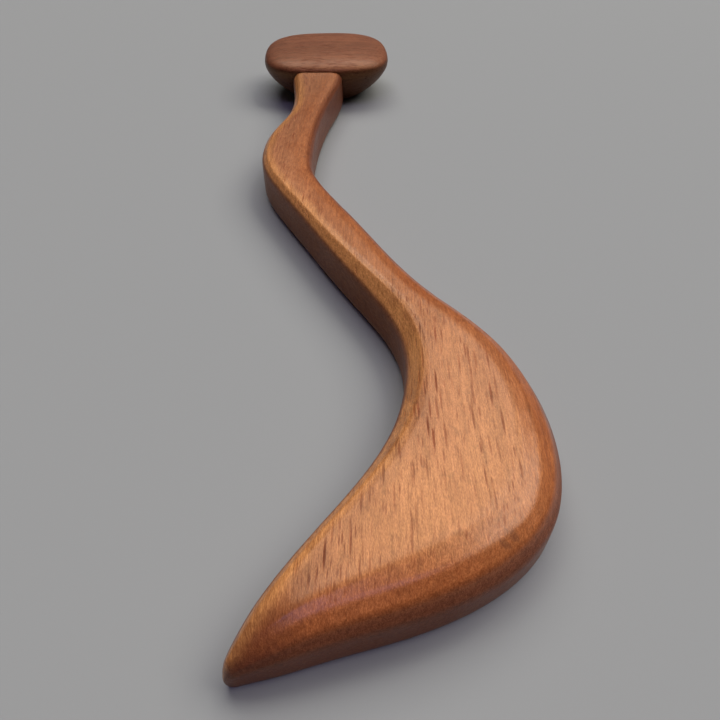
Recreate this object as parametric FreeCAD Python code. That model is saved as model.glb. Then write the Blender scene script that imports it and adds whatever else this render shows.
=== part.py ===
import FreeCAD, Part
import math
import os

os.makedirs("parts", exist_ok=True)

# A slender hand-carved hardwood implement that lies on a flat underside:
#   handle  - one stick: neck, S-curved stem and broad flat foot with a long pointed toe,
#             with a shoulder and a round tenon at the far end
#   head    - separate cross-grain crowned block, let onto the neck and bored for the tenon
#   peg     - dowel driven up from the underside through block and tenon
# Row frame, millimetres: +Z up, +Y from the toe to the head, +X to the heel side.
# Origin: bottom centre of the whole object's box.

V = FreeCAD.Vector

# ------------------------------------------------------------------ driving dimensions
X_SHIFT = -0.398         # moves every piece so that the box is centred on the origin
Y_SHIFT = -0.526

UNDERSIDE_Z = 0.0        # flat underside
WALL_FOOT_Z = 1.4        # height where the side wall starts to turn under
FOOT_INSET = 0.75        # how far the bottom edge is set in from the wall
CORNER_R = (1.4, 1.6, 1.6, 1.8, 2.6, 2.6, 1.6, 1.6, 1.4)   # softness of each section corner

SHOULDER_Y = 59.4        # end plane of the neck, inside the head's housing
TENON_X = -9.10
TENON_Z = 4.70
TENON_R = 3.40
TENON_LEN = 11.0         # from the shoulder
TENON_CHAMFER = 0.6
BORE_RELIEF = 0.8        # the blind bore runs on past the tenon's end

PEG_X = -9.10
PEG_Y = 65.4
PEG_R = 1.60
PEG_Z0 = 0.25            # its lower end sits just inside the underside
PEG_Z1 = 9.05            # its upper end stops inside the block
PEG_CHAMFER = 0.35
PEG_HOLE_TOP = 9.25      # small air space above the peg

# Stations of the handle from the head end to the toe's tip:
#   spine X, spine Y, half width, height,
#   heel side: facet's run in, drop at the wall, drop at the facet's top, how far in the level top starts,
#   inner side: the same four
STATIONS = [
    (  -9.100, SHOULDER_Y,  6.35,  9.25,  1.30, 1.50, 0.25, 2.80,  1.30, 1.50, 0.25, 2.80),
    (  -9.100,   54.800,  6.25,  9.20,  1.30, 1.50, 0.25, 2.80,  1.30, 1.50, 0.25, 2.80),
    (  -9.050,   48.400,  5.60,  9.00,  1.30, 1.50, 0.25, 2.70,  1.30, 1.50, 0.25, 2.70),
    (  -9.600,   41.200,  4.15,  8.70,  1.20, 1.40, 0.22, 2.40,  1.20, 1.40, 0.22, 2.40),
    ( -10.600,   31.400,  3.65,  8.50,  1.20, 1.40, 0.22, 2.40,  1.20, 1.40, 0.22, 2.40),
    ( -13.069,   21.714,  5.20,  8.50,  1.20, 1.40, 0.22, 2.60,  1.20, 1.40, 0.22, 2.60),
    ( -13.319,    9.836,  5.23,  8.50,  1.20, 1.40, 0.22, 2.60,  1.20, 1.40, 0.22, 2.60),
    ( -11.049,    2.130,  3.95,  8.50,  1.20, 1.40, 0.22, 2.60,  1.20, 1.40, 0.22, 2.60),
    (  -4.719,   -9.532,  3.84,  8.50,  1.20, 1.40, 0.22, 2.60,  1.20, 1.50, 0.22, 2.60),
    (  -1.554,  -15.490,  4.01,  8.50,  1.30, 1.50, 0.25, 2.70,  1.40, 1.60, 0.25, 2.60),
    (   4.679,  -27.188,  3.59,  8.60,  1.40, 1.80, 0.30, 2.80,  1.70, 1.90, 0.30, 2.60),
    (   9.674,  -34.734,  4.07,  8.70,  1.80, 2.40, 0.40, 3.40,  2.00, 2.20, 0.35, 2.80),
    (  14.469,  -42.992,  6.91,  8.80,  2.40, 3.00, 0.50, 4.40,  2.10, 2.40, 0.35, 3.20),
    (  15.908,  -53.599,  9.53,  8.90,  3.30, 3.70, 0.60, 5.40,  2.00, 2.20, 0.35, 3.40),
    (  14.140,  -63.425, 11.04,  8.90,  2.80, 3.90, 0.85, 5.70,  1.70, 2.00, 0.35, 3.20),
    (   6.713,  -69.934,  8.42,  8.80,  3.00, 3.60, 0.65, 5.70,  1.30, 1.70, 0.30, 2.80),
    (  -3.044,  -75.896,  4.37,  8.30,  2.60, 2.70, 0.45, 3.90,  1.00, 1.40, 0.25, 1.80),
    (  -7.599,  -79.273,  2.63,  6.90,  1.60, 2.00, 0.35, 2.60,  0.70, 1.10, 0.25, 1.10),
    ( -10.804,  -81.525,  0.60,  4.30,  0.36, 0.90, 0.20, 0.60,  0.28, 0.80, 0.20, 0.45),
    ( -10.988,  -81.682,  0.45,  3.00,  0.18, 0.60, 0.12, 0.35,  0.15, 0.60, 0.12, 0.30),
]

# Head block: level, half width along X, half depth along Y, squareness of the outline
HEAD_X = -7.45
HEAD_Y = 68.4
HEAD_TURN_DEG = 3.0
HEAD_RINGS = 24
HEAD_LEVELS = [
    ( 0.00,  8.6,  8.6, 2.3),
    ( 0.60, 10.0,  9.4, 2.3),
    ( 2.00, 12.0, 10.9, 2.4),
    ( 3.90, 14.2, 12.5, 2.5),
    ( 6.00, 15.8, 13.9, 2.6),
    ( 8.00, 16.6, 14.9, 2.8),
    ( 9.60, 16.2, 14.6, 2.9),
    (10.60, 14.4, 13.0, 2.9),
    (11.15, 11.4, 10.2, 2.7),
    (11.45,  7.4,  6.6, 2.5),
    (11.50,  4.0,  3.6, 2.3),
    (11.50,  1.6,  1.4, 2.0),
]


# ------------------------------------------------------------------ helpers
def clamped(n, degree):
    """Knots and multiplicities of a clamped uniform spline with n poles."""
    spans = n - degree
    knots = [i / spans for i in range(spans + 1)]
    mults = [degree + 1] + [1] * (spans - 1) + [degree + 1]
    return knots, mults


def greville(n, degree):
    spans = n - degree
    kn = [0.0] * degree + [i / spans for i in range(spans + 1)] + [1.0] * degree
    return [sum(kn[i + 1:i + degree + 1]) / degree for i in range(n)]


def section(st):
    """Poles of one station, heel-side bottom edge over the top to the inner one,
    as (offset across the spine, height)."""
    _, _, w, h, c_o, d_o, k_o, f_o, c_i, d_i, k_i, f_i = st
    ins = min(FOOT_INSET, 0.33 * w)
    low = min(WALL_FOOT_Z, 0.45 * (h - max(d_o, d_i)))
    corners = [
        (w - ins, UNDERSIDE_Z), (w, low), (w, h - d_o), (w - 0.40 * c_o, h - k_o - 0.36 * (d_o - k_o)),
        (w - c_o, h - k_o), (w - f_o, h),
        (-(w - f_i), h), (-(w - c_i), h - k_i), (-w, h - d_i), (-w, low), (-(w - ins), UNDERSIDE_Z),
    ]
    poles = [corners[0]]
    for i in range(1, len(corners) - 1):
        p, q, n = corners[i - 1], corners[i], corners[i + 1]
        a = math.hypot(q[0] - p[0], q[1] - p[1])
        b = math.hypot(n[0] - q[0], n[1] - q[1])
        ra, rb = min(CORNER_R[i - 1], 0.47 * a), min(CORNER_R[i - 1], 0.47 * b)
        poles.append((q[0] + (p[0] - q[0]) / a * ra, q[1] + (p[1] - q[1]) / a * ra))
        poles.append(q)
        poles.append((q[0] + (n[0] - q[0]) / b * rb, q[1] + (n[1] - q[1]) / b * rb))
    return poles + [corners[-1]]


def closed_solid(faces):
    shell = Part.Shell(faces)
    shell.sewShape()
    return Part.makeSolid(shell)


def edge_at(face, u=None, v=None):
    """The boundary edge of a spline face on its parameter line u or v."""
    surf = face.Surface
    u0, u1, v0, v1 = surf.bounds()
    p = surf.value(u if u is not None else 0.5 * (u0 + u1), v if v is not None else 0.5 * (v0 + v1))
    return min(face.Edges, key=lambda e: e.distToShape(Part.Vertex(p))[0])


def swept(rows):
    """Solid from rows of open poles whose two ends lie on the underside."""
    m = len(rows[0])
    uk, um = clamped(len(rows), 3)
    vk, vm = clamped(m, 2)
    s = Part.BSplineSurface()
    s.buildFromPolesMultsKnots(rows, um, vm, uk, vk, False, False, 3, 2)
    side = s.toShape()
    a, b = edge_at(side, u=0.0), edge_at(side, u=1.0)
    c, d = edge_at(side, v=0.0), edge_at(side, v=1.0)
    la = Part.makeLine(rows[0][0], rows[0][-1])
    lb = Part.makeLine(rows[-1][0], rows[-1][-1])
    flat = Part.Face(Part.Wire(Part.__sortEdges__([la, c, lb, d])))
    return closed_solid([side, flat, Part.Face(Part.Wire(Part.__sortEdges__([a, la]))),
                         Part.Face(Part.Wire(Part.__sortEdges__([b, lb])))])


def ringed(rows):
    """Solid from level closed rings of poles, with a flat bottom and a small flat crown."""
    m = len(rows[0])
    uk, um = clamped(len(rows), 3)
    vk, vm = [float(i) for i in range(m + 1)], [1] * (m + 1)
    s = Part.BSplineSurface()
    s.buildFromPolesMultsKnots(rows, um, vm, uk, vk, False, True, 3, 3)
    side = s.toShape()
    return closed_solid(side.Faces + [Part.Face(Part.Wire([e])) for e in side.Edges if e.isClosed()])


def one(shape):
    shape = shape.removeSplitter()
    solids = shape.Solids
    return max(solids, key=lambda q: q.Volume)


# ------------------------------------------------------------------ handle blank
n = len(STATIONS)
spine = Part.BSplineCurve()
uk, um = clamped(n, 3)
spine.buildFromPolesMultsKnots([V(a[0], a[1], 0) for a in STATIONS], um, uk, False, 3)
rows = []
for st, t in zip(STATIONS, greville(n, 3)):
    d = spine.tangent(t)[0]
    nx, ny = -d.y, d.x
    rows.append([V(st[0] + nx * a, st[1] + ny * a, z) for a, z in section(st)])
stick = one(swept(rows))

tenon = Part.makeCylinder(TENON_R, TENON_LEN + 4.0, V(TENON_X, SHOULDER_Y - 4.0, TENON_Z), V(0, 1, 0))
tip = [e for e in tenon.Edges if abs(e.BoundBox.YMin - (SHOULDER_Y + TENON_LEN)) < 1e-6
       and abs(e.BoundBox.YMax - (SHOULDER_Y + TENON_LEN)) < 1e-6]
tenon = tenon.makeChamfer(TENON_CHAMFER, tip)
peg_hole = Part.makeCylinder(PEG_R, PEG_HOLE_TOP + 5.0, V(PEG_X, PEG_Y, -5.0), V(0, 0, 1))
handle = one(stick.fuse(tenon).cut(peg_hole))

# ------------------------------------------------------------------ head block
turn = math.radians(HEAD_TURN_DEG)
rings = []
for z, a, b, p in HEAD_LEVELS:
    ring = []
    for i in range(HEAD_RINGS):
        q = 2 * math.pi * (i + 0.5) / HEAD_RINGS
        cx, sy = math.cos(q), math.sin(q)
        x = a * math.copysign(abs(cx) ** (2 / p), cx)
        y = b * math.copysign(abs(sy) ** (2 / p), sy)
        ring.append(V(HEAD_X + x * math.cos(turn) - y * math.sin(turn),
                      HEAD_Y + x * math.sin(turn) + y * math.cos(turn), z))
    rings.append(ring)
block = one(ringed(rings))

bore = Part.makeCylinder(TENON_R, TENON_LEN + BORE_RELIEF + 4.0,
                         V(TENON_X, SHOULDER_Y - 4.0, TENON_Z), V(0, 1, 0))
head = one(block.cut(stick).cut(bore).cut(peg_hole))

# ------------------------------------------------------------------ peg
peg = Part.makeCylinder(PEG_R, PEG_Z1 - PEG_Z0, V(PEG_X, PEG_Y, PEG_Z0), V(0, 0, 1))
rims = [e for e in peg.Edges if e.Closed and e.BoundBox.ZMax - e.BoundBox.ZMin < 1e-6]
peg = peg.makeChamfer(PEG_CHAMFER, rims)

# ------------------------------------------------------------------ write
pieces = {"handle": handle, "head": head, "peg": peg}
box = FreeCAD.BoundBox()
for name in sorted(pieces):
    s = pieces[name]
    s.translate(V(X_SHIFT, Y_SHIFT, 0))
    s = s.Solids[0]
    b = s.optimalBoundingBox(True, False)
    box.add(b)
    s.exportStep("parts/%s.step" % name)
    print("%-7s valid %s closed %s solids %d faces %d volume %.1f mm3  x %.2f..%.2f y %.2f..%.2f z %.3f..%.3f" % (
        name, s.isValid(), s.isClosed(), len(s.Solids), len(s.Faces), s.Volume,
        b.XMin, b.XMax, b.YMin, b.YMax, b.ZMin, b.ZMax))
print("box %.3f..%.3f  %.3f..%.3f  %.3f..%.3f   centre off by %.4f %.4f" % (
    box.XMin, box.XMax, box.YMin, box.YMax, box.ZMin, box.ZMax,
    (box.XMin + box.XMax) / 2, (box.YMin + box.YMax) / 2))
for a, b in (("handle", "head"), ("handle", "peg"), ("head", "peg")):
    common = pieces[a].common(pieces[b]).Volume
    gap = pieces[a].distToShape(pieces[b])[0]
    print("%s / %s: overlap %.4f mm3, gap %.4f mm" % (a, b, common, gap))
print("edge tolerance", ["%s %.5f" % (k, pieces[k].getTolerance(1, Part.Edge)) for k in sorted(pieces)])
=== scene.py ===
import math

import bmesh
import bpy
import numpy as np
from mathutils import Matrix, Vector, noise


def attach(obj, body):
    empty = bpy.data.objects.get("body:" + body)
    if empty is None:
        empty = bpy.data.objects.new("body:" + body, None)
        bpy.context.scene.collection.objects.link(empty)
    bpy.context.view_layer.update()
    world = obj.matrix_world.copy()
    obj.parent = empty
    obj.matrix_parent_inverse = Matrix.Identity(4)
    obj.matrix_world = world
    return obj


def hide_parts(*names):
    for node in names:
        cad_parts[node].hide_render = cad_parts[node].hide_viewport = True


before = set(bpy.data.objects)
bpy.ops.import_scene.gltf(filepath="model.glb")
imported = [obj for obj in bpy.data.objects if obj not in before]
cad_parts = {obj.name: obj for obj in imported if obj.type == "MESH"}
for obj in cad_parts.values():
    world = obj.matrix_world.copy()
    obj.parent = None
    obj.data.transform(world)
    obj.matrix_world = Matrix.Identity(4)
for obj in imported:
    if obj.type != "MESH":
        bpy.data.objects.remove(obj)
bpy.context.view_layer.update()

MM = 0.001

# ------------------------------------------------------------------ the part's own numbers, mm
X_SHIFT, Y_SHIFT = -0.398, -0.526
WALL_FOOT_Z = 1.4
FOOT_INSET = 0.75
CORNER_R = (1.4, 1.6, 1.6, 1.8, 2.6, 2.6, 1.6, 1.6, 1.4)
SHOULDER_Y = 59.4
TENON_X, TENON_Z, TENON_R, TENON_LEN, TENON_CHAMFER = -9.10, 4.70, 3.40, 11.0, 0.6
BORE_RELIEF = 0.8
PEG_X, PEG_Y, PEG_R, PEG_Z0, PEG_Z1, PEG_CHAMFER, PEG_HOLE_TOP = -9.10, 65.4, 1.60, 0.25, 9.05, 0.35, 9.25
STATIONS = [
    (  -9.100, SHOULDER_Y,  6.35,  9.25,  1.30, 1.50, 0.25, 2.80,  1.30, 1.50, 0.25, 2.80),
    (  -9.100,   54.800,  6.25,  9.20,  1.30, 1.50, 0.25, 2.80,  1.30, 1.50, 0.25, 2.80),
    (  -9.050,   48.400,  5.60,  9.00,  1.30, 1.50, 0.25, 2.70,  1.30, 1.50, 0.25, 2.70),
    (  -9.600,   41.200,  4.15,  8.70,  1.20, 1.40, 0.22, 2.40,  1.20, 1.40, 0.22, 2.40),
    ( -10.600,   31.400,  3.65,  8.50,  1.20, 1.40, 0.22, 2.40,  1.20, 1.40, 0.22, 2.40),
    ( -13.069,   21.714,  5.20,  8.50,  1.20, 1.40, 0.22, 2.60,  1.20, 1.40, 0.22, 2.60),
    ( -13.319,    9.836,  5.23,  8.50,  1.20, 1.40, 0.22, 2.60,  1.20, 1.40, 0.22, 2.60),
    ( -11.049,    2.130,  3.95,  8.50,  1.20, 1.40, 0.22, 2.60,  1.20, 1.40, 0.22, 2.60),
    (  -4.719,   -9.532,  3.84,  8.50,  1.20, 1.40, 0.22, 2.60,  1.20, 1.50, 0.22, 2.60),
    (  -1.554,  -15.490,  4.01,  8.50,  1.30, 1.50, 0.25, 2.70,  1.40, 1.60, 0.25, 2.60),
    (   4.679,  -27.188,  3.59,  8.60,  1.40, 1.80, 0.30, 2.80,  1.70, 1.90, 0.30, 2.60),
    (   9.674,  -34.734,  4.07,  8.70,  1.80, 2.40, 0.40, 3.40,  2.00, 2.20, 0.35, 2.80),
    (  14.469,  -42.992,  6.91,  8.80,  2.40, 3.00, 0.50, 4.40,  2.10, 2.40, 0.35, 3.20),
    (  15.908,  -53.599,  9.53,  8.90,  3.30, 3.70, 0.60, 5.40,  2.00, 2.20, 0.35, 3.40),
    (  14.140,  -63.425, 11.04,  8.90,  2.80, 3.90, 0.85, 5.70,  1.70, 2.00, 0.35, 3.20),
    (   6.713,  -69.934,  8.42,  8.80,  3.00, 3.60, 0.65, 5.70,  1.30, 1.70, 0.30, 2.80),
    (  -3.044,  -75.896,  4.37,  8.30,  2.60, 2.70, 0.45, 3.90,  1.00, 1.40, 0.25, 1.80),
    (  -7.599,  -79.273,  2.63,  6.90,  1.60, 2.00, 0.35, 2.60,  0.70, 1.10, 0.25, 1.10),
    ( -10.804,  -81.525,  0.60,  4.30,  0.36, 0.90, 0.20, 0.60,  0.28, 0.80, 0.20, 0.45),
    ( -10.988,  -81.682,  0.45,  3.00,  0.18, 0.60, 0.12, 0.35,  0.15, 0.60, 0.12, 0.30),
]
NOSE_LEN, NOSE_Z, NOSE_POWER, NOSE_ROWS = 1.10, 1.6, 2.2, 14
HEAD_X, HEAD_Y, HEAD_TURN_DEG, HEAD_RINGS = -7.45, 68.4, 3.0, 24
HEAD_LEVELS = [
    ( 0.00,  8.6,  8.6, 2.3),
    ( 0.60, 10.0,  9.4, 2.3),
    ( 2.00, 12.0, 10.9, 2.4),
    ( 3.90, 14.2, 12.5, 2.5),
    ( 6.00, 15.8, 13.9, 2.6),
    ( 8.00, 16.6, 14.9, 2.8),
    ( 9.60, 16.2, 14.6, 2.9),
    (10.60, 14.4, 13.0, 2.9),
    (11.15, 11.4, 10.2, 2.7),
    (11.45,  7.4,  6.6, 2.5),
    (11.50,  4.0,  3.6, 2.3),
    (11.50,  1.6,  1.4, 2.0),
]


# ------------------------------------------------------------------ splines
def basis(n, degree, t):
    """Clamped uniform B-spline basis, one row per parameter value."""
    kn = np.r_[np.zeros(degree), np.linspace(0, 1, n - degree + 1), np.ones(degree)]
    t = np.clip(np.asarray(t, float), 0, 1 - 1e-12)
    m = np.array([(t >= kn[i]) & (t < kn[i + 1]) for i in range(len(kn) - 1)], float).T
    for d in range(1, degree + 1):
        nxt = np.zeros((len(t), len(kn) - 1 - d))
        for i in range(len(kn) - 1 - d):
            a, b = kn[i + d] - kn[i], kn[i + d + 1] - kn[i + 1]
            if a > 0:
                nxt[:, i] += (t - kn[i]) / a * m[:, i]
            if b > 0:
                nxt[:, i] += (kn[i + d + 1] - t) / b * m[:, i + 1]
        m = nxt
    return m


def greville(n, degree):
    kn = np.r_[np.zeros(degree), np.linspace(0, 1, n - degree + 1), np.ones(degree)]
    return np.array([kn[i + 1:i + degree + 1].mean() for i in range(n)])


def section(st):
    _, _, w, h, c_o, d_o, k_o, f_o, c_i, d_i, k_i, f_i = st
    ins = min(FOOT_INSET, 0.33 * w)
    low = min(WALL_FOOT_Z, 0.45 * (h - max(d_o, d_i)))
    corners = [
        (w - ins, 0.0), (w, low), (w, h - d_o), (w - 0.40 * c_o, h - k_o - 0.36 * (d_o - k_o)), (w - c_o, h - k_o),
        (w - f_o, h),
        (-(w - f_i), h), (-(w - c_i), h - k_i), (-w, h - d_i), (-w, low), (-(w - ins), 0.0),
    ]
    poles = [corners[0]]
    for i in range(1, len(corners) - 1):
        p, q, n = map(np.array, (corners[i - 1], corners[i], corners[i + 1]))
        a, b = np.hypot(*(q - p)), np.hypot(*(n - q))
        ra, rb = min(CORNER_R[i - 1], 0.47 * a), min(CORNER_R[i - 1], 0.47 * b)
        poles += [tuple(q + (p - q) / a * ra), tuple(q), tuple(q + (n - q) / b * rb)]
    return np.array(poles + [corners[-1]])


def handle_poles():
    """The surface's poles, and each pole's offset across the section with the half width there."""
    c = np.array([[s[0], s[1]] for s in STATIONS])
    n = len(c)
    g = greville(n, 3)
    e = 1e-5
    d = (basis(n, 3, np.clip(g + e, 0, 1)) - basis(n, 3, np.clip(g - e, 0, 1))) @ c
    d /= np.linalg.norm(d, axis=1)[:, None]
    rows, across = [], []
    for s, t in zip(STATIONS, d):
        sec = section(s)
        rows.append(np.stack([s[0] - t[1] * sec[:, 0], s[1] + t[0] * sec[:, 0], sec[:, 1]], 1))
        across.append(np.stack([sec[:, 0], np.full(len(sec), s[2])], 1))
    return np.array(rows), np.array(across)


# ------------------------------------------------------------------ mesh helpers
def fbm(p, scale, octaves=3, seed=0.0):
    """Smooth deterministic noise, about -1..1, on points in mm."""
    out = np.zeros(len(p))
    for i, q in enumerate(p):
        v, a, f = 0.0, 1.0, 1.0 / scale
        for _ in range(octaves):
            v += a * noise.noise(Vector((q[0] * f + seed, q[1] * f - seed, q[2] * f + 0.5 * seed)))
            a *= 0.5
            f *= 2.03
        out[i] = v
    return out


def grid_normals(g, closed):
    """Unit normals of a grid of points, rows along and columns around."""
    du = np.gradient(g, axis=0)
    if closed:
        dv = 0.5 * (np.roll(g, -1, 1) - np.roll(g, 1, 1))
    else:
        dv = np.gradient(g, axis=1)
    n = np.cross(dv, du)
    ln = np.linalg.norm(n, axis=2)[..., None]
    return n / np.maximum(ln, 1e-9)


def new_object(name, verts, faces, smooth_angle=None):
    me = bpy.data.meshes.new(name)
    me.from_pydata([tuple(v) for v in verts], [], [tuple(f) for f in faces])
    me.validate()
    me.update()
    bm = bmesh.new()
    bm.from_mesh(me)
    bmesh.ops.recalc_face_normals(bm, faces=bm.faces)
    bm.to_mesh(me)
    bm.free()
    ob = bpy.data.objects.new(name, me)
    bpy.context.scene.collection.objects.link(ob)
    for p in me.polygons:
        p.use_smooth = True
    if smooth_angle is not None:
        me.set_sharp_from_angle(angle=math.radians(smooth_angle))
    return ob


def point_attribute(me, name, values):
    a = me.attributes.new(name, "FLOAT", "POINT")
    a.data.foreach_set("value", np.asarray(values, np.float32))


def carve(ob, cutter, keep=False):
    """Boolean difference, applied."""
    m = ob.modifiers.new("cut", "BOOLEAN")
    m.operation, m.solver, m.object = "DIFFERENCE", "EXACT", cutter
    dg = bpy.context.evaluated_depsgraph_get()
    me = bpy.data.meshes.new_from_object(ob.evaluated_get(dg), preserve_all_data_layers=True, depsgraph=dg)
    ob.modifiers.clear()
    old = ob.data
    ob.data = me
    bpy.data.meshes.remove(old)
    me.name = ob.name
    if not keep:
        cm = cutter.data
        bpy.data.objects.remove(cutter)
        bpy.data.meshes.remove(cm)


def rod(name, axis, base, length, radius, sides=96, chamfer=0.0, both=False):
    """Plain cylinder with optional chamfered ends, mm."""
    prof = [(0.0, radius - (chamfer if both else 0.0))]
    if both and chamfer:
        prof.append((chamfer, radius))
    prof.append((length - chamfer, radius))
    if chamfer:
        prof.append((length, radius - chamfer))
    verts, faces = [], []
    for h, r in prof:
        for i in range(sides):
            a = 2 * math.pi * i / sides
            if axis == "Y":
                verts.append((base[0] + r * math.cos(a), base[1] + h, base[2] + r * math.sin(a)))
            else:
                verts.append((base[0] + r * math.cos(a), base[1] + r * math.sin(a), base[2] + h))
    n = len(prof)
    for k in range(n - 1):
        for i in range(sides):
            j = (i + 1) % sides
            faces.append((k * sides + i, k * sides + j, (k + 1) * sides + j, (k + 1) * sides + i))
    faces.append(tuple(reversed(range(sides))))
    faces.append(tuple((n - 1) * sides + i for i in range(sides)))
    return new_object(name, np.array(verts) * MM, faces, 35)


def shifted(p):
    return np.asarray(p, float) + np.array([X_SHIFT, Y_SHIFT, 0.0])


# ------------------------------------------------------------------ handle
POLES, ACROSS = handle_poles()
K, M = POLES.shape[:2]


def handle_grid(nu, per_span, u0=0.0, u1=1.0):
    """Surface points, rows evenly spaced along the spine."""
    t = np.linspace(u0, u1, 2000)
    c = basis(K, 3, t) @ POLES[:, M // 2, :]
    s = np.r_[0, np.cumsum(np.linalg.norm(np.diff(c, axis=0), axis=1))]
    tu = np.interp(np.linspace(0, s[-1], nu), s, t)
    nv = (M - 2) * per_span + 1
    tv = np.linspace(0, 1, nv)
    bu, bv = basis(K, 3, tu), basis(M, 2, tv)
    g = np.einsum("uk,kmc,vm->uvc", bu, POLES, bv)
    a = np.einsum("uk,kmc,vm->uvc", bu, ACROSS, bv)
    return g, a


def round_bottom(g, r=0.45, steps=4):
    """Replaces each row's two bottom corners by a small arc onto the underside."""
    rows = []
    for row in g:
        out = []
        for side in (0, 1):
            q = row if side == 0 else row[::-1]
            s = np.r_[0, np.cumsum(np.linalg.norm(np.diff(q, axis=0), axis=1))]
            half = 0.5 * np.linalg.norm(row[0] - row[-1])
            rr = min(r, 0.6 * half, 0.3 * s[-1] / 2)
            k = int(np.searchsorted(s, rr))
            up = np.array([np.interp(rr, s, q[:, c]) for c in range(3)])
            inward = (q[-1] - q[0]) / (2 * half)
            flat = q[0] + inward * rr
            t = np.linspace(0, 1, steps + 1)[:, None]
            arc = (1 - t) ** 2 * flat + 2 * t * (1 - t) * q[0] + t ** 2 * up
            out.append((arc, rr))
        # evenly re-spread the wall points between the two arcs
        s = np.r_[0, np.cumsum(np.linalg.norm(np.diff(row, axis=0), axis=1))]
        a, b = out[0][1], s[-1] - out[1][1]
        keep = a + (b - a) * s / s[-1]
        mid = np.stack([np.interp(keep, s, row[:, c]) for c in range(3)], 1)
        rows.append(np.vstack([out[0][0][:-1], mid, out[1][0][::-1][1:]]))
    return np.array(rows)


def build_handle():
    nu, per = 560, 7
    g, across = handle_grid(nu, per)
    n = grid_normals(g, False)
    flat = g.reshape(-1, 3)
    # hand work: soft tool waviness, strongest on the cut faces, none at the joint or the underside
    wave = (0.055 * fbm(flat * np.array([1, 0.55, 1]), 9.0, 2, 3.1)
            + 0.018 * fbm(flat, 2.6, 2, 11.7)).reshape(g.shape[:2])
    lift = np.clip(g[..., 2] / 2.2, 0, 1)
    joint = np.clip((SHOULDER_Y - g[..., 1]) / 9.0, 0, 1)
    tip = np.clip((g[..., 1] + 82.0) / 6.0, 0, 1)
    amp = lift * joint * tip
    g = g - n * ((np.abs(wave) * 0.6 + 0.03 - wave * 0.4) * amp)[..., None]
    g = round_bottom(g)
    pad = (g.shape[1] - across.shape[1]) // 2
    across = np.concatenate([across[:, :1]] * pad + [across] + [across[:, -1:]] * pad, 1)
    # toe tip: the section shrinks onto a point over the last millimetre, as a rounded nose
    spine = 0.5 * (g[:, 0] + g[:, -1])
    left = np.r_[np.cumsum(np.linalg.norm(np.diff(spine, axis=0), axis=1)[::-1])[::-1], 0.0]
    cut = int(np.argmax(left < NOSE_LEN))
    rows = []
    for a in np.linspace(0, math.pi / 2, NOSE_ROWS + 1)[1:-1]:
        f, here = math.cos(a) ** (2 / NOSE_POWER), left[cut] * (1 - math.sin(a) ** (2 / NOSE_POWER))
        k = min(int(np.argmax(left <= here)), len(left) - 1)
        w = (left[k - 1] - here) / max(left[k - 1] - left[k], 1e-9)
        row = g[k - 1] * (1 - w) + g[k] * w
        mid = 0.5 * (row[0] + row[-1]) + np.array([0, 0, NOSE_Z])
        rows.append(mid + (row - mid) * f)
    g = np.concatenate([g[:cut + 1], np.array(rows)], 0)
    across = np.concatenate([across[:cut + 1], np.repeat(across[cut:cut + 1], len(rows), 0)], 0)
    nu, nv = g.shape[:2]
    verts = [g.reshape(-1, 3)]
    faces = []
    for i in range(nu - 1):
        for j in range(nv - 1):
            a = i * nv + j
            faces.append((a, a + 1, a + nv + 1, a + nv))
        faces.append((i * nv + nv - 1, i * nv, (i + 1) * nv, (i + 1) * nv + nv - 1))
    c = nu * nv
    verts.append((spine[-1] + np.array([0, 0, NOSE_Z]))[None])
    for j in range(nv):
        faces.append(((nu - 1) * nv + j, (nu - 1) * nv + (j + 1) % nv, c))
    # shoulder, tenon and its chamfered end
    first = g[0]
    ang = np.arctan2(first[:, 2] - TENON_Z, first[:, 0] - TENON_X)
    start = c + 1
    prof = [(SHOULDER_Y, TENON_R + 0.25), (SHOULDER_Y, TENON_R)]
    prof += [(SHOULDER_Y + TENON_LEN - TENON_CHAMFER, TENON_R), (SHOULDER_Y + TENON_LEN, TENON_R - TENON_CHAMFER)]
    for y, r in prof:
        verts.append(np.stack([TENON_X + r * np.cos(ang), np.full(nv, y), TENON_Z + r * np.sin(ang)], 1))
    prev = 0
    for k in range(len(prof)):
        cur = start + k * nv
        for j in range(nv):
            a, b = j, (j + 1) % nv
            faces.append((prev + a, cur + a, cur + b, prev + b))
        prev = cur
    verts.append(np.array([[TENON_X, SHOULDER_Y + TENON_LEN, TENON_Z]]))
    c2 = start + len(prof) * nv
    for j in range(nv):
        faces.append((prev + j, c2, prev + (j + 1) % nv))
    v = shifted(np.vstack(verts)) * MM
    ob = new_object("handle_carved", v, faces)
    # how far in from the heel-side wall and from the inner wall each point lies, for the finish and the painted shading
    tot = len(v)
    for name, val in (("from_outer", across[..., 1] - across[..., 0]), ("from_inner", across[..., 1] + across[..., 0])):
        full = np.zeros(tot)
        full[:nu * nv] = val.ravel()
        full[nu * nv:start] = 0.5
        full[start:] = 5.0
        point_attribute(ob.data, name, full)
    return ob


handle = build_handle()
drill = rod("drill", "Z", shifted((PEG_X, PEG_Y, -5.0)), PEG_HOLE_TOP + 5.0, PEG_R + 0.01, 96)
carve(handle, drill)
handle.data.set_sharp_from_angle(angle=math.radians(38))


# ------------------------------------------------------------------ head
def closed_basis(m, degree, t):
    """Periodic uniform cubic basis."""
    out = np.zeros((len(t), m))
    s = np.asarray(t) * m
    i0 = np.floor(s).astype(int)
    f = s - i0
    w = [(1 - f) ** 3 / 6, (3 * f ** 3 - 6 * f ** 2 + 4) / 6, (-3 * f ** 3 + 3 * f ** 2 + 3 * f + 1) / 6, f ** 3 / 6]
    for k in range(4):
        np.add.at(out, (np.arange(len(t)), (i0 + k) % m), w[k])
    return out


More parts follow.
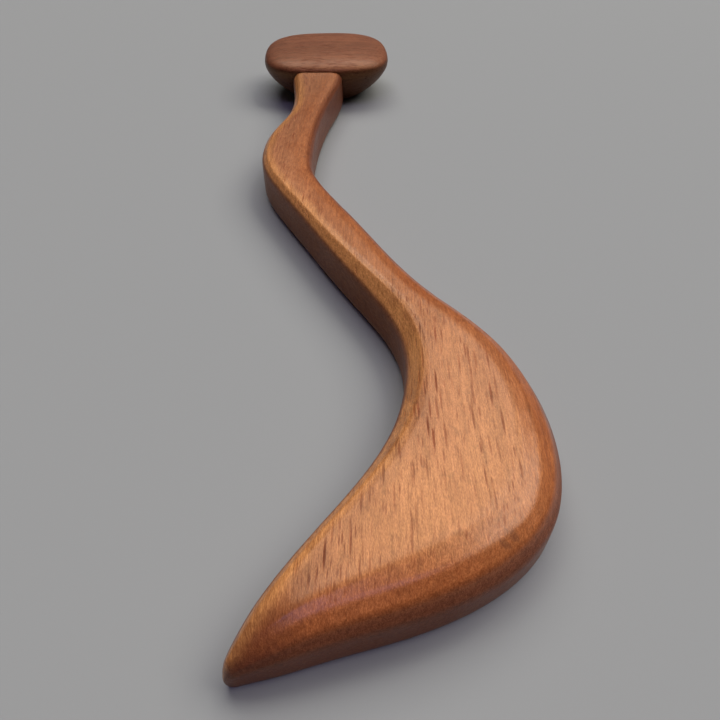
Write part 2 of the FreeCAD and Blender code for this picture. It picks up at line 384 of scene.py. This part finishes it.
def build_head():
    turn = math.radians(HEAD_TURN_DEG)
    rows = []
    for z, a, b, p in HEAD_LEVELS:
        q = 2 * np.pi * (np.arange(HEAD_RINGS) + 0.5) / HEAD_RINGS
        cx, sy = np.cos(q), np.sin(q)
        x = a * np.sign(cx) * np.abs(cx) ** (2 / p)
        y = b * np.sign(sy) * np.abs(sy) ** (2 / p)
        rows.append(np.stack([HEAD_X + x * math.cos(turn) - y * math.sin(turn),
                              HEAD_Y + x * math.sin(turn) + y * math.cos(turn), np.full(HEAD_RINGS, z)], 1))
    rows = np.array(rows)
    nu, nv = 150, 288
    t = np.linspace(0, 1, 1500)
    c = basis(len(rows), 3, t) @ rows[:, 0, :]
    s = np.r_[0, np.cumsum(np.linalg.norm(np.diff(c, axis=0), axis=1))]
    tu = np.interp(np.linspace(0, s[-1], nu), s, t)
    g = np.einsum("uk,kmc,vm->uvc", basis(len(rows), 3, tu), rows, closed_basis(HEAD_RINGS, 3, np.arange(nv) / nv))
    n = -grid_normals(g, True)
    centre = np.array([HEAD_X, HEAD_Y, 6.0])
    flip = np.sign(((g - centre) * n).sum(2).mean())
    n *= flip
    flat = g.reshape(-1, 3)
    wave = (0.10 * fbm(flat * np.array([0.6, 1, 1]), 10.0, 2, 7.7) + 0.02 * fbm(flat, 3.0, 2, 1.9)).reshape(g.shape[:2])
    lift = np.clip(g[..., 2] / 2.0, 0, 1)
    g = g - n * ((np.abs(wave) * 0.6 + 0.02 - wave * 0.4) * lift)[..., None]
    g[0, :, 2] = 0.0
    verts = [g.reshape(-1, 3), g[0].mean(0)[None], g[-1].mean(0)[None]]
    lo, hi = nu * nv, nu * nv + 1
    faces = []
    for i in range(nu - 1):
        for j in range(nv):
            k = (j + 1) % nv
            faces.append((i * nv + j, i * nv + k, (i + 1) * nv + k, (i + 1) * nv + j))
    for j in range(nv):
        k = (j + 1) % nv
        faces.append((lo, k, j))
        faces.append((hi, (nu - 1) * nv + j, (nu - 1) * nv + k))
    v = shifted(np.vstack(verts)) * MM
    return new_object("head_block", v, faces)


def neck_cutter(gap=0.06):
    """The neck's own shape, a hair larger, that lets it into the block."""
    g = handle_grid(60, 4, 0.0, 0.14)[0]
    n = grid_normals(g, False)
    c = g.mean(1, keepdims=True)
    n *= np.sign(((g - c) * n).sum(2).mean())
    g = g + n * gap
    lead = g[0] + np.array([0, 0.03, 0])
    g = np.concatenate([lead[None], g], 0)
    g[:, 0, 2] = -1.0
    g[:, -1, 2] = -1.0
    nu, nv = g.shape[:2]
    faces = []
    for i in range(nu - 1):
        for j in range(nv):
            k = (j + 1) % nv
            faces.append((i * nv + j, i * nv + k, (i + 1) * nv + k, (i + 1) * nv + j))
    faces.append(tuple(range(nv)))
    faces.append(tuple(reversed(range((nu - 1) * nv, nu * nv))))
    return new_object("neck_cutter", shifted(g.reshape(-1, 3)) * MM, faces)


head = build_head()
carve(head, neck_cutter())
carve(head, rod("bore", "Y", shifted((TENON_X, SHOULDER_Y - 4.0, TENON_Z)), TENON_LEN + BORE_RELIEF + 4.0, TENON_R + 0.02, 96))
carve(head, rod("peg_bore", "Z", shifted((PEG_X, PEG_Y, -5.0)), PEG_HOLE_TOP + 5.0, PEG_R + 0.03, 96))
head.data.set_sharp_from_angle(angle=math.radians(38))


# ------------------------------------------------------------------ peg
def build_peg():
    """A dowel: slightly domed ends, a soft chamfer, and a shallow spiral-free fluting as split wood has."""
    sides, prof = 96, []
    for r, z in ((0.0, PEG_Z0 + 0.0), (0.5, PEG_Z0 + 0.01), (0.95, PEG_Z0 + 0.05), (1.2, PEG_Z0 + 0.12),
                 (1.42, PEG_Z0 + 0.25), (PEG_R - 0.03, PEG_Z0 + 0.5)):
        prof.append((r, z))
    for k in range(1, 12):
        prof.append((PEG_R - 0.005, PEG_Z0 + 0.5 + k * (PEG_Z1 - PEG_Z0 - 1.0) / 12))
    for r, z in ((PEG_R - 0.03, PEG_Z1 - 0.5), (1.42, PEG_Z1 - 0.25), (1.2, PEG_Z1 - 0.12), (0.95, PEG_Z1 - 0.05),
                 (0.5, PEG_Z1 - 0.01), (0.0, PEG_Z1)):
        prof.append((r, z))
    verts, faces, rings = [], [], []
    for r, z in prof:
        if r == 0.0:
            rings.append([len(verts)])
            verts.append((PEG_X, PEG_Y, z))
            continue
        ids = []
        for i in range(sides):
            a = 2 * math.pi * i / sides
            rr = r * (1 - 0.006 * (1 + math.sin(7 * a + 0.6)) * 0.5 - 0.004 * (1 + math.sin(17 * a)) * 0.5)
            ids.append(len(verts))
            verts.append((PEG_X + rr * math.cos(a), PEG_Y + rr * math.sin(a), z))
        rings.append(ids)
    for a, b in zip(rings[:-1], rings[1:]):
        for i in range(sides):
            j = (i + 1) % sides
            if len(a) == 1:
                faces.append((a[0], b[j], b[i]))
            elif len(b) == 1:
                faces.append((a[i], a[j], b[0]))
            else:
                faces.append((a[i], a[j], b[j], b[i]))
    return new_object("peg_dowel", shifted(verts) * MM, faces)


peg = build_peg()


# ------------------------------------------------------------------ materials
class Nodes:
    """Small helper: builds a node tree by chained calls."""

    def __init__(self, mat):
        mat.use_nodes = True
        self.t = mat.node_tree
        self.t.nodes.clear()

    def new(self, kind, **props):
        n = self.t.nodes.new(kind)
        for k, v in props.items():
            setattr(n, k, v)
        return n

    def put(self, socket, value):
        if isinstance(value, bpy.types.NodeSocket):
            self.t.links.new(value, socket)
        elif value is not None:
            socket.default_value = value

    def math(self, op, a, b=None, c=None, clamp=False):
        n = self.new("ShaderNodeMath", operation=op, use_clamp=clamp)
        for s, v in zip(n.inputs, (a, b, c)):
            self.put(s, v)
        return n.outputs[0]

    def scaled(self, vec, scale, move=(0, 0, 0)):
        n = self.new("ShaderNodeVectorMath", operation="MULTIPLY_ADD")
        self.put(n.inputs[0], vec)
        n.inputs[1].default_value = scale
        n.inputs[2].default_value = move
        return n.outputs[0]

    def turned(self, vec, angles):
        n = self.new("ShaderNodeMapping", vector_type="POINT")
        self.put(n.inputs["Vector"], vec)
        n.inputs["Rotation"].default_value = angles
        return n.outputs[0]

    def noise(self, vec, scale=1.0, detail=3.0, rough=0.5, distort=0.0):
        n = self.new("ShaderNodeTexNoise", noise_dimensions="3D")
        self.put(n.inputs["Vector"], vec)
        n.inputs["Scale"].default_value = scale
        n.inputs["Detail"].default_value = detail
        n.inputs["Roughness"].default_value = rough
        n.inputs["Distortion"].default_value = distort
        return n

    def cells(self, vec, scale=1.0, randomness=1.0):
        n = self.new("ShaderNodeTexVoronoi", voronoi_dimensions="3D", feature="F1")
        self.put(n.inputs["Vector"], vec)
        n.inputs["Scale"].default_value = scale
        n.inputs["Randomness"].default_value = randomness
        return n

    def ramp(self, fac, stops, mode="LINEAR"):
        n = self.new("ShaderNodeValToRGB")
        n.color_ramp.interpolation = mode
        e = n.color_ramp.elements
        while len(e) > 1:
            e.remove(e[-1])
        for i, (p, c) in enumerate(stops):
            s = e[0] if i == 0 else e.new(p)
            s.position = p
            s.color = (*c, 1.0) if len(c) == 3 else c
        self.put(n.inputs[0], fac)
        return n.outputs[0]

    def span(self, v, a, b, lo=0.0, hi=1.0, smooth=True):
        n = self.new("ShaderNodeMapRange", interpolation_type="SMOOTHSTEP" if smooth else "LINEAR")
        self.put(n.inputs[0], v)
        for i, x in enumerate((a, b, lo, hi)):
            n.inputs[1 + i].default_value = x
        return n.outputs[0]

    def mix(self, fac, a, b, blend="MIX"):
        n = self.new("ShaderNodeMix", data_type="RGBA", blend_type=blend)
        self.put(n.inputs[0], fac)
        for s, v in ((n.inputs[6], a), (n.inputs[7], b)):
            self.put(s, (*v, 1.0) if isinstance(v, tuple) and len(v) == 3 else v)
        return n.outputs[2]


def srgb(r, g, b):
    """0..255 display colour to linear."""
    out = []
    for v in (r, g, b):
        v /= 255.0
        out.append(v / 12.92 if v <= 0.04045 else ((v + 0.055) / 1.055) ** 2.4)
    return tuple(out)


def wood(name, tones, grain_turn, seed=0.0, pore=(0.46, 6.5), pore_dark=0.26, rough=0.40, finish_and_shading=None, spec=0.85,
         sheen=(1.0, 0.50, 0.17), coat=0.30, fine=1.0, marks=()):
    """Open-pored hardwood as a solid texture, in mm; the grain runs along local Y after the turn."""
    mat = bpy.data.materials.new(name)
    n = Nodes(mat)
    tc = n.new("ShaderNodeTexCoord")
    raw = n.scaled(tc.outputs["Object"], (1000, 1000, 1000))
    p = n.turned(n.scaled(tc.outputs["Object"], (1000, 1000, 1000), (seed, -seed, 0.3 * seed)), grain_turn)
    # the grain drifts slowly sideways
    drift = n.noise(n.scaled(p, (0.03, 0.012, 0.03)), 1.0, 2.0, 0.5)
    dv = n.new("ShaderNodeVectorMath", operation="MULTIPLY_ADD")
    n.put(dv.inputs[0], drift.outputs["Color"])
    dv.inputs[1].default_value = (4.0, 0.0, 4.0)
    n.put(dv.inputs[2], p)
    q = dv.outputs[0]

    # broad figure and growth bands
    fig = n.noise(n.scaled(q, (0.10, 0.022, 0.13)), 1.0, 3.0, 0.55, 0.4).outputs["Fac"]
    band = n.noise(n.scaled(q, (0.55, 0.028, 0.60)), 1.0, 3.0, 0.6, 0.2).outputs["Fac"]
    tone = n.math("ADD", n.math("MULTIPLY", fig, 0.55), n.math("MULTIPLY", band, 0.45))
    col = n.ramp(tone, [(0.34, tones[0]), (0.44, tones[1]), (0.53, tones[2]), (0.63, tones[3])])

    if finish_and_shading:
        # rubbed, more saturated timber towards the heel-side wall; towards the inner wall a lighter tone that is
        # painted light on the rounding turned away from the lamps; the walls themselves are darkened as painted shade
        fo = n.new("ShaderNodeAttribute", attribute_name="from_outer").outputs["Fac"]
        fi = n.new("ShaderNodeAttribute", attribute_name="from_inner").outputs["Fac"]
        sway = n.math("MULTIPLY_ADD", n.noise(n.scaled(raw, (0.16, 0.10, 0.16)), 1.0, 3.0).outputs["Fac"], 4.0, -2.0)
        fo2 = n.math("ADD", fo, sway)
        fi2 = n.math("MULTIPLY_ADD", sway, 0.5, fi)
        n_outer = n.span(fo2, 2.2, 6.2, 1.0, 0.0)
        n_inner = n.span(fi2, 1.2, 3.0, 1.0, 0.0)
        col = n.mix(n.math("MULTIPLY", n_outer, finish_and_shading["outer"]), col, finish_and_shading["outer_tone"])
        col = n.mix(n.math("MULTIPLY", n_inner, finish_and_shading["inner"]), col, finish_and_shading["inner_painted_light"])
        wall = n.math("MAXIMUM", n.span(fo, 0.25, 1.5, 1.0, 0.0), n.span(fi, 0.05, 0.50, 1.0, 0.0))
        col = n.mix(n.math("MULTIPLY", wall, finish_and_shading["wall"]), col, finish_and_shading["wall_painted_shade"])
        # painted shade: gently darker up the stem to the neck, for the light falling off towards the far end
        yy = n.new("ShaderNodeSeparateXYZ")
        n.put(yy.inputs[0], raw)
        dark = n.span(yy.outputs[1], 0.0, 56.0, 1.0, finish_and_shading["far"], False)
        dk = n.new("ShaderNodeCombineColor")
        for k, w in enumerate((1.0, 1.02, 1.04)):
            n.put(dk.inputs[k], n.math("POWER", dark, w))
        col = n.mix(1.0, col, dk.outputs[0], "MULTIPLY")

        # painted shade: a darker, redder band just inside the inner edge of the foot, in patches, where that rounding
        # turns away from the lamps
        inner_painted_shade = n.math("MULTIPLY", n.span(fi2, 1.6, 2.6, 0.0, 1.0), n.span(fi2, 3.0, 6.5, 1.0, 0.0))
        patchy = n.span(n.noise(n.scaled(raw, (0.45, 0.22, 0.45), (3.0, 0.0, 0.0)), 1.0, 3.0).outputs["Fac"], 0.40, 0.62, 0.15, 1.0)
        south = n.span(yy.outputs[1], -48.0, -56.0, 0.0, 1.0)
        inner_painted_shade = n.math("MULTIPLY", n.math("MULTIPLY", inner_painted_shade, patchy), n.math("MULTIPLY", south, 0.55))
        col = n.mix(inner_painted_shade, col, (0.235, 0.068, 0.030))
    else:
        # painted shade: faces turned away from straight up get darker, down to 0.42 of the colour on walls and
        # undersides
        face = n.new("ShaderNodeNewGeometry").outputs["Normal"]
        up = n.new("ShaderNodeSeparateXYZ")
        n.put(up.inputs[0], face)
        lit = n.span(up.outputs[2], 0.15, 0.70, 0.42, 1.0)
        sh = n.new("ShaderNodeCombineColor")
        for k, w in enumerate((1.0, 0.95, 0.90)):
            n.put(sh.inputs[k], n.math("POWER", lit, w))
        col = n.mix(1.0, col, sh.outputs[0], "MULTIPLY")

    # streaks and fibres
    streak = n.noise(n.scaled(q, (2.3, 0.10, 2.3)), 1.0, 4.0, 0.62).outputs["Fac"]
    fibre = n.noise(n.scaled(q, (6.5, 0.75, 6.5)), 1.0, 2.0, 0.6).outputs["Fac"]
    fleck = n.noise(n.scaled(q, (11.0, 3.2, 11.0)), 1.0, 1.0, 0.5).outputs["Fac"]
    s1 = n.span(streak, 0.30, 0.70, 0.76, 1.18)
    s2 = n.span(fibre, 0.28, 0.72, 1 - 0.22 * fine, 1 + 0.20 * fine)
    s3 = n.span(fleck, 0.30, 0.70, 1 - 0.15 * fine, 1 + 0.14 * fine)
    sv = n.math("MULTIPLY", n.math("MULTIPLY", s1, s2), s3)
    cv = n.new("ShaderNodeCombineColor")
    for k, w in enumerate((0.85, 1.05, 1.15)):
        n.put(cv.inputs[k], n.math("POWER", sv, w))
    col = n.mix(1.0, col, cv.outputs[0], "MULTIPLY")

    # open pores: long dark dashes, a bold and a faint family
    pores = None
    for w, l, lim, share, power, sd in ((pore[0], pore[1], 0.36, 0.15, 1.0, 0.0),
                                        (pore[0] * 0.75, pore[1] * 0.45, 0.34, 0.30, 0.70, 13.7)):
        c = n.cells(n.scaled(q, (1 / w, 1 / l, 1 / w), (sd, sd * 0.7, -sd)))
        inside = n.span(c.outputs["Distance"], lim * 0.45, lim * 1.10, power, 0.0)
        sep = n.new("ShaderNodeSeparateColor")
        n.put(sep.inputs[0], c.outputs["Color"])
        here = n.span(sep.outputs[0], share, 1.0, 0.45, 1.0, False)
        here = n.math("MULTIPLY", here, n.math("GREATER_THAN", sep.outputs[0], share))
        one = n.math("MULTIPLY", inside, here)
        pores = one if pores is None else n.math("MAXIMUM", pores, one)
    thick = n.span(n.noise(n.scaled(q, (0.14, 0.035, 0.14)), 1.0, 2.0).outputs["Fac"], 0.36, 0.58, 0.30, 1.0)
    pores = n.math("MULTIPLY", pores, thick)
    if finish_and_shading:
        pores = n.math("MULTIPLY", pores, n.math("MULTIPLY_ADD", wall, -0.80, 1.0))
        pores = n.math("MULTIPLY", pores, n.math("MULTIPLY_ADD", n_outer, -0.45, 1.0))
    soak = n.new("ShaderNodeCombineColor")
    for k, w in enumerate((0.85, 1.25, 1.10)):
        n.put(soak.inputs[k], n.math("MULTIPLY_ADD", pores, -pore_dark * w, 1.0))
    col = n.mix(1.0, col, soak.outputs[0], "MULTIPLY")

    # darker towards the bottom, in patches; a few stains
    z = n.new("ShaderNodeSeparateXYZ")
    n.put(z.inputs[0], raw)
    low = n.span(z.outputs[2], 0.0, 3.0, 1.0, 0.0)
    low = n.math("MULTIPLY", low, n.span(n.noise(n.scaled(raw, (0.5, 0.5, 0.5)), 1.0, 3.0).outputs["Fac"], 0.3, 0.7, 0.35, 1.0))
    col = n.mix(n.math("MULTIPLY", low, 0.30), col, srgb(62, 34, 25))
    spot = n.noise(n.scaled(raw, (0.55, 0.35, 0.55), (7.3, 2.1, 0.0)), 1.0, 4.0, 0.62).outputs["Fac"]
    spot = n.span(spot, 0.63, 0.74, 0.0, 0.42)
    col = n.mix(spot, col, srgb(84, 42, 30))

    for mx, my, rx, ry, turn, depth in marks:
        m = n.scaled(raw, (1, 1, 0), (-mx, -my, 0))
        m = n.scaled(n.turned(m, (0, 0, turn)), (1 / rx, 1 / ry, 1))
        wob = n.noise(n.scaled(raw, (2.2, 1.1, 2.2), (mx, my, 0)), 1.0, 3.0).outputs["Color"]
        wv = n.new("ShaderNodeVectorMath", operation="MULTIPLY_ADD")
        n.put(wv.inputs[0], wob)
        wv.inputs[1].default_value = (1.3, 1.3, 0.0)
        wv.inputs[2].default_value = (-0.65, -0.65, 0.0)
        sum_ = n.new("ShaderNodeVectorMath", operation="ADD")
        n.put(sum_.inputs[0], m)
        n.put(sum_.inputs[1], wv.outputs[0])
        ln = n.new("ShaderNodeVectorMath", operation="LENGTH")
        n.put(ln.inputs[0], sum_.outputs[0])
        col = n.mix(n.span(ln.outputs["Value"], 0.35, 1.15, depth, 0.0), col, srgb(92, 44, 34))

    # roughness
    r = n.math("ADD", n.span(fibre, 0.25, 0.75, -0.05, 0.07), rough)
    blotch = n.noise(n.scaled(raw, (0.16, 0.10, 0.16)), 1.0, 3.0).outputs["Fac"]
    r = n.math("ADD", r, n.span(blotch, 0.3, 0.7, -0.05, 0.07))
    r = n.math("ADD", r, n.math("MULTIPLY", pores, 0.25), clamp=True)

    # relief
    scratch = n.noise(n.scaled(n.turned(raw, (0, 0, 0.5)), (9.0, 0.8, 5.0)), 1.0, 2.0).outputs["Fac"]
    h = n.math("MULTIPLY", fibre, 0.45)
    h = n.math("MULTIPLY_ADD", fleck, 0.22, h)
    h = n.math("MULTIPLY_ADD", streak, 0.16, h)
    h = n.math("MULTIPLY_ADD", scratch, 0.10, h)
    h = n.math("SUBTRACT", h, n.math("MULTIPLY", pores, 0.70))
    bump = n.new("ShaderNodeBump")
    bump.inputs["Strength"].default_value = 0.60
    bump.inputs["Distance"].default_value = 0.00010
    n.put(bump.inputs["Height"], h)

    b = n.new("ShaderNodeBsdfPrincipled")
    n.put(b.inputs["Base Color"], col)
    n.put(b.inputs["Roughness"], r)
    n.put(b.inputs["Normal"], bump.outputs[0])
    # the sheen breaks up along the fibres and stops in the pores
    live = n.math("MULTIPLY", n.span(fleck, 0.28, 0.72, 0.62, 1.38, False), n.span(fibre, 0.28, 0.72, 0.72, 1.28, False))
    dry = n.math("MULTIPLY_ADD", pores, -0.92, 1.0)
    if finish_and_shading:
        dry = n.math("MULTIPLY", dry, n.math("MULTIPLY_ADD", wall, -0.85, 1.0))
    n.put(b.inputs["Specular IOR Level"], n.math("MULTIPLY", n.math("MULTIPLY", live, dry), spec))
    b.inputs["IOR"].default_value = 1.70
    b.inputs["Specular Tint"].default_value = (*sheen, 1.0)
    if finish_and_shading:
        rubbed = n.span(fo, 3.2, 6.6, finish_and_shading["edge_coat"], coat)
        n.put(b.inputs["Coat Weight"], n.math("MULTIPLY", rubbed, dry))
    else:
        n.put(b.inputs["Coat Weight"], n.math("MULTIPLY", dry, coat))
    b.inputs["Coat Roughness"].default_value = 0.24
    o = n.new("ShaderNodeOutputMaterial")
    n.put(o.inputs["Surface"], b.outputs[0])
    return mat


TONES = ((0.262, 0.078, 0.030), (0.345, 0.110, 0.044), (0.405, 0.138, 0.056), (0.475, 0.172, 0.070))
# head tones about half the handle's: partly the darker cross-grain wood, partly painted shade for the far end
HEAD_TONES = ((0.135, 0.036, 0.017), (0.175, 0.048, 0.023), (0.210, 0.060, 0.029), (0.245, 0.074, 0.036))
PEG_TONES = (srgb(78, 42, 27), srgb(98, 55, 36), srgb(116, 66, 44), srgb(132, 80, 54))
# handle finish and shading: the inner tone is painted light on the inner rounding; the wall tone and the far factor are
# painted shade
FINISH_AND_SHADING = {"outer": 0.75, "outer_tone": (0.395, 0.100, 0.023), "inner": 0.75, "inner_painted_light": (0.700, 0.290, 0.088),
          "wall": 0.85, "wall_painted_shade": (0.190, 0.060, 0.030), "far": 0.74, "edge_coat": 0.62}

# x, y, half length, half width in mm, turn, depth: dark flecks, a worn patch, and a faint crease on the foot whose
# darkening is painted shade
MARKS = ((16.1, -70.9, 1.0, 0.55, 0.5, 0.55), (15.2, -71.8, 0.8, 0.5, 0.3, 0.50), (10.7, -71.1, 0.6, 0.5, 0.0, 0.40),
         (4.9, -60.9, 1.1, 2.4, 0.2, 0.32), (14.6, -62.2, 0.45, 1.7, 0.0, 0.35), (8.1, -52.9, 2.8, 0.9, 0.62, 0.25),
         (-8.0, -80.3, 5.5, 2.4, -0.55, 0.42))
handle.data.materials.clear()
handle.data.materials.append(wood("carved_wood", TONES, (0.0, 0.0, math.radians(1.5)), finish_and_shading=FINISH_AND_SHADING, marks=MARKS))
head.data.materials.clear()
head.data.materials.append(wood("cross_grain_wood", HEAD_TONES, (0.0, 0.0, math.radians(86)), seed=41.0, rough=0.52,
                                pore=(0.40, 5.0), pore_dark=0.25, coat=0.12, spec=0.55))
peg.data.materials.clear()
peg.data.materials.append(wood("dowel_wood", PEG_TONES, (math.radians(90), 0.0, 0.0), pore=(0.34, 4.0), seed=87.0, rough=0.55))

for piece, node, slot in ((handle, "handle", "handle_wood"), (head, "head", "head_wood"), (peg, "peg", "peg_wood")):
    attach(piece, "root")
    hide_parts(node)

# ------------------------------------------------------------------ floor, light, camera
floor_me = bpy.data.meshes.new("floor")
s = 12.0
floor_me.from_pydata([(-s, -s, 0), (s, -s, 0), (s, s, 0), (-s, s, 0)], [], [(0, 1, 2, 3)])
floor = bpy.data.objects.new("floor", floor_me)
bpy.context.scene.collection.objects.link(floor)
fm = bpy.data.materials.new("floor_paper")
fn = Nodes(fm)
fb = fn.new("ShaderNodeBsdfPrincipled")
fb.inputs["Base Color"].default_value = (0.352, 0.360, 0.348, 1)
fb.inputs["Roughness"].default_value = 0.95
fb.inputs["Specular IOR Level"].default_value = 0.05
fo = fn.new("ShaderNodeOutputMaterial")
fn.put(fo.inputs["Surface"], fb.outputs[0])
floor_me.materials.append(fm)


def area(name, place, aim, size, power, colour):
    d = bpy.data.lights.new(name, "AREA")
    d.shape, d.size, d.size_y, d.energy, d.color = "RECTANGLE", size[0], size[1], power, colour
    o = bpy.data.objects.new(name, d)
    bpy.context.scene.collection.objects.link(o)
    o.location = place
    o.rotation_euler = (Vector(aim) - Vector(place)).to_track_quat("-Z", "Y").to_euler()
    return o


area("window", (-0.07, 2.01, 3.43), (0.0, -0.05, 0.0), (3.6, 2.7), 108.0, (1.0, 0.985, 0.96))
area("key", (2.42, 0.83, 3.06), (0.0, -0.05, 0.0), (3.0, 2.4), 88.0, (1.0, 0.97, 0.93))
area("skylight", (0.0, -0.98, 2.60), (0.0, -0.05, 0.0), (2.2, 0.62), 10.5, (0.60, 0.50, 1.0))
world = bpy.data.worlds.new("studio")
world.use_nodes = True
world.node_tree.nodes["Background"].inputs[0].default_value = (0.92, 0.95, 1.0, 1)
world.node_tree.nodes["Background"].inputs[1].default_value = 0.02
bpy.context.scene.world = world
bpy.context.scene.view_settings.view_transform = "Standard"

cam_d = bpy.data.cameras.new("camera")
cam_d.lens, cam_d.sensor_width, cam_d.clip_start, cam_d.clip_end = 29.0, 36.0, 0.002, 60.0
cam = bpy.data.objects.new("camera", cam_d)
cam.location = ((1.5 + X_SHIFT) * MM, (-98.6 + Y_SHIFT) * MM, 60.0 * MM)
cam.rotation_euler = (math.radians(90 - 44.8), 0, 0)
bpy.context.scene.collection.objects.link(cam)
bpy.context.scene.camera = cam
